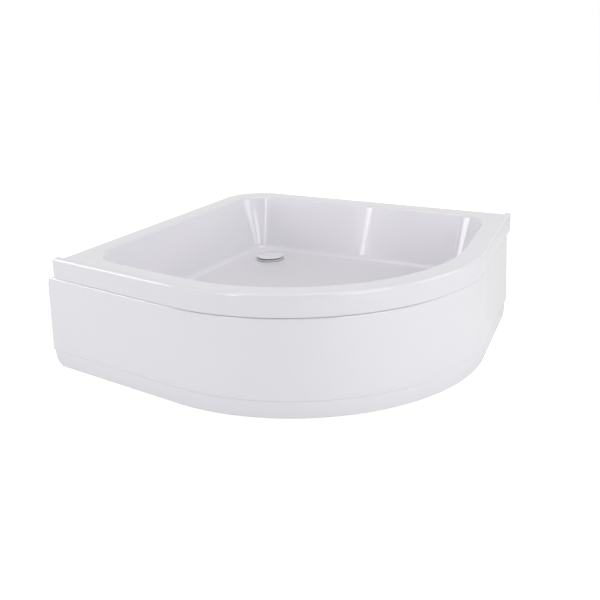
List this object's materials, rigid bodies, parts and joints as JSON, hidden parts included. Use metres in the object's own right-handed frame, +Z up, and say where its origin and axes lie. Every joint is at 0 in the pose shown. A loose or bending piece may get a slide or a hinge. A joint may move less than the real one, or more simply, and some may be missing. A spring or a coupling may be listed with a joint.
{
  "type": "quadrant shower tray",
  "caption": "Deep quadrant shower tray with a rounded front, corner waste, lift-off curved apron and a levelled steel leg frame.",
  "frame": {"origin": "middle of the outline's box, on the floor under the feet", "axes": "+Z up; the two walls lie at +X and +Y, and the round front faces -X and -Y"},
  "size_m": [0.9956, 1.0274, 0.305],
  "materials": {
    "white_acrylic": "gloss white sanitary acrylic",
    "white_cover": "gloss white moulded cap",
    "waste_plastic": "satin white polypropylene",
    "rib_plastic": "matt white bonded strip",
    "black_plastic": "matt black nylon",
    "seal_rubber": "matt black rubber",
    "galvanised_steel": "galvanised",
    "zinc_steel": "bright zinc plate",
    "magnet": "dark sintered ferrite",
    "board": "raw chipboard and batten"
  },
  "bodies": {
    "frame_and_tray": {"tray_shell": "white_acrylic", "base_board": "board", "front_batten": "board", "wall_batten_u": "board", "wall_batten_v": "board", "top_rail_back": "galvanised_steel", "top_rail_middle": "galvanised_steel", "leg_rail_back": "galvanised_steel", "leg_rail_middle": "galvanised_steel", "leg_rail_side": "galvanised_steel", "leg_rail_diagonal": "galvanised_steel", "upright_u": "galvanised_steel", "upright_diagonal": "galvanised_steel", "upright_v": "galvanised_steel", "upright_plates": "galvanised_steel", "plate_screws": "zinc_steel", "rail_end_caps": "black_plastic", "weld_nuts": "zinc_steel", "lock_nuts": "zinc_steel", "wall_bracket_u": "zinc_steel", "wall_bracket_v": "zinc_steel", "bracket_screws": "zinc_steel", "waste_flange": "waste_plastic", "upper_seal": "seal_rubber", "lower_seal": "seal_rubber", "trap_body": "waste_plastic", "outlet_nut": "waste_plastic", "outlet_seal": "seal_rubber", "waste_pipe": "waste_plastic", "catch_housings": "black_plastic", "catch_magnets": "magnet"},
    "insert": {"trap_insert": "waste_plastic", "insert_ring": "seal_rubber"},
    "cover": {"drain_cover": "white_cover"},
    "apron": {"apron_panel": "white_acrylic", "apron_ribs": "rib_plastic", "strike_plates": "zinc_steel"},
    "pad_1": {"foot_pad_1": "black_plastic"},
    "spindle_1": {"foot_spindle_1": "zinc_steel"},
    "pad_2": {"foot_pad_2": "black_plastic"},
    "spindle_2": {"foot_spindle_2": "zinc_steel"},
    "pad_3": {"foot_pad_3": "black_plastic"},
    "spindle_3": {"foot_spindle_3": "zinc_steel"},
    "pad_4": {"foot_pad_4": "black_plastic"},
    "spindle_4": {"foot_spindle_4": "zinc_steel"},
    "pad_5": {"foot_pad_5": "black_plastic"},
    "spindle_5": {"foot_spindle_5": "zinc_steel"},
    "pad_6": {"foot_pad_6": "black_plastic"},
    "spindle_6": {"foot_spindle_6": "zinc_steel"}
  },
  "joints": [
    {"name": "insert_lift", "type": "slide", "parent": "frame_and_tray", "child": "insert", "axis": [0, 0, 1], "range_m": [0, 0.12]},
    {"name": "cover_lift", "type": "slide", "parent": "insert", "child": "cover", "axis": [0, 0, 1], "range_m": [0, 0.06]},
    {"name": "apron_pull", "type": "slide", "parent": "frame_and_tray", "child": "apron", "axis": [-0.7071, -0.7071, 0], "range_m": [0, 0.25]},
    {"name": "foot_1_height", "type": "slide", "parent": "frame_and_tray", "child": "pad_1", "axis": [0, 0, 1], "range_m": [-0.008, 0.008]},
    {"name": "foot_1_turn", "type": "hinge", "parent": "pad_1", "child": "spindle_1", "pos_m": [0.36519, 0.34974, 0], "axis": [0, 0, 1], "range_deg": [-1710, 1710]},
    {"name": "foot_2_height", "type": "slide", "parent": "frame_and_tray", "child": "pad_2", "axis": [0, 0, 1], "range_m": [-0.008, 0.008]},
    {"name": "foot_2_turn", "type": "hinge", "parent": "pad_2", "child": "spindle_2", "pos_m": [0.36519, -0.36526, 0], "axis": [0, 0, 1], "range_deg": [-1710, 1710]},
    {"name": "foot_3_height", "type": "slide", "parent": "frame_and_tray", "child": "pad_3", "axis": [0, 0, 1], "range_m": [-0.008, 0.008]},
    {"name": "foot_3_turn", "type": "hinge", "parent": "pad_3", "child": "spindle_3", "pos_m": [0.01019, -0.3748, 0], "axis": [0, 0, 1], "range_deg": [-1710, 1710]},
    {"name": "foot_4_height", "type": "slide", "parent": "frame_and_tray", "child": "pad_4", "axis": [0, 0, 1], "range_m": [-0.008, 0.008]},
    {"name": "foot_4_turn", "type": "hinge", "parent": "pad_4", "child": "spindle_4", "pos_m": [-0.34981, 0.34974, 0], "axis": [0, 0, 1], "range_deg": [-1710, 1710]},
    {"name": "foot_5_height", "type": "slide", "parent": "frame_and_tray", "child": "pad_5", "axis": [0, 0, 1], "range_m": [-0.008, 0.008]},
    {"name": "foot_5_turn", "type": "hinge", "parent": "pad_5", "child": "spindle_5", "pos_m": [-0.34981, -0.00526, 0], "axis": [0, 0, 1], "range_deg": [-1710, 1710]},
    {"name": "foot_6_height", "type": "slide", "parent": "frame_and_tray", "child": "pad_6", "axis": [0, 0, 1], "range_m": [-0.008, 0.008]},
    {"name": "foot_6_turn", "type": "hinge", "parent": "pad_6", "child": "spindle_6", "pos_m": [-0.2299, -0.24535, 0], "axis": [0, 0, 1], "range_deg": [-1710, 1710]}
  ],
  "couplings": [
    {"joint": "foot_1_turn", "follows": "foot_1_height", "rad_per_m": 3590.4},
    {"joint": "foot_2_turn", "follows": "foot_2_height", "rad_per_m": 3590.4},
    {"joint": "foot_3_turn", "follows": "foot_3_height", "rad_per_m": 3590.4},
    {"joint": "foot_4_turn", "follows": "foot_4_height", "rad_per_m": 3590.4},
    {"joint": "foot_5_turn", "follows": "foot_5_height", "rad_per_m": 3590.4},
    {"joint": "foot_6_turn", "follows": "foot_6_height", "rad_per_m": 3590.4}
  ]
}
